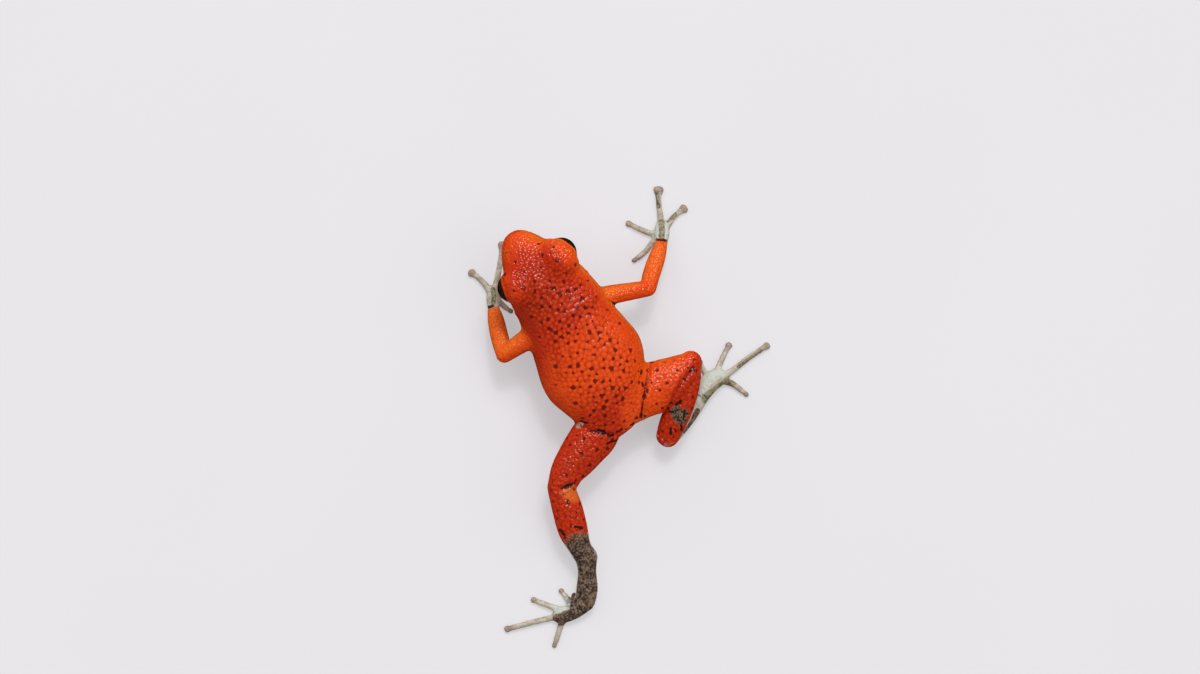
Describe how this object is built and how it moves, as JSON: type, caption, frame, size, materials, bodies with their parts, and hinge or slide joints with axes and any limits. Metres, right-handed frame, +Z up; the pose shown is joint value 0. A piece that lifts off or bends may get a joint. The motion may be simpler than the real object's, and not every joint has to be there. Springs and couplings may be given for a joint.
{
  "type": "strawberry poison dart frog",
  "caption": "Life-size still model of a small red poison dart frog, head raised, one hind leg folded and the other stretched back.",
  "frame": {"origin": "centre of the bounding box in plan, on the floor", "axes": "+Z up, snout towards -Y, the frog's right side towards -X"},
  "size_m": [0.0336, 0.035, 0.0087],
  "materials": {
    "red_skin": "moist granular skin, orange-red with small black spots, glossy on the grains",
    "grey_skin": "moist smooth skin, grey to pale turquoise with brown mottling",
    "eye": "glossy near-black eye"
  },
  "bodies": {
    "root": {"head": "red_skin", "torso": "red_skin", "eye_right": "eye", "eye_left": "eye", "upper_arm_right": "red_skin", "forearm_right": "red_skin", "hand_right": "grey_skin", "finger_1_right": "grey_skin", "finger_2_right": "grey_skin", "finger_3_right": "grey_skin", "finger_4_right": "grey_skin", "thigh_right": "red_skin", "shank_right": "red_skin", "tarsus_right": "grey_skin", "foot_right": "grey_skin", "toe_1_right": "grey_skin", "toe_2_right": "grey_skin", "toe_3_right": "grey_skin", "toe_4_right": "grey_skin", "toe_5_right": "grey_skin", "upper_arm_left": "red_skin", "forearm_left": "red_skin", "hand_left": "grey_skin", "finger_1_left": "grey_skin", "finger_2_left": "grey_skin", "finger_3_left": "grey_skin", "finger_4_left": "grey_skin", "thigh_left": "red_skin", "shank_left": "red_skin", "tarsus_left": "grey_skin", "foot_left": "grey_skin", "toe_1_left": "grey_skin", "toe_2_left": "grey_skin", "toe_3_left": "grey_skin", "toe_4_left": "grey_skin", "toe_5_left": "grey_skin"}
  },
  "joints": []
}
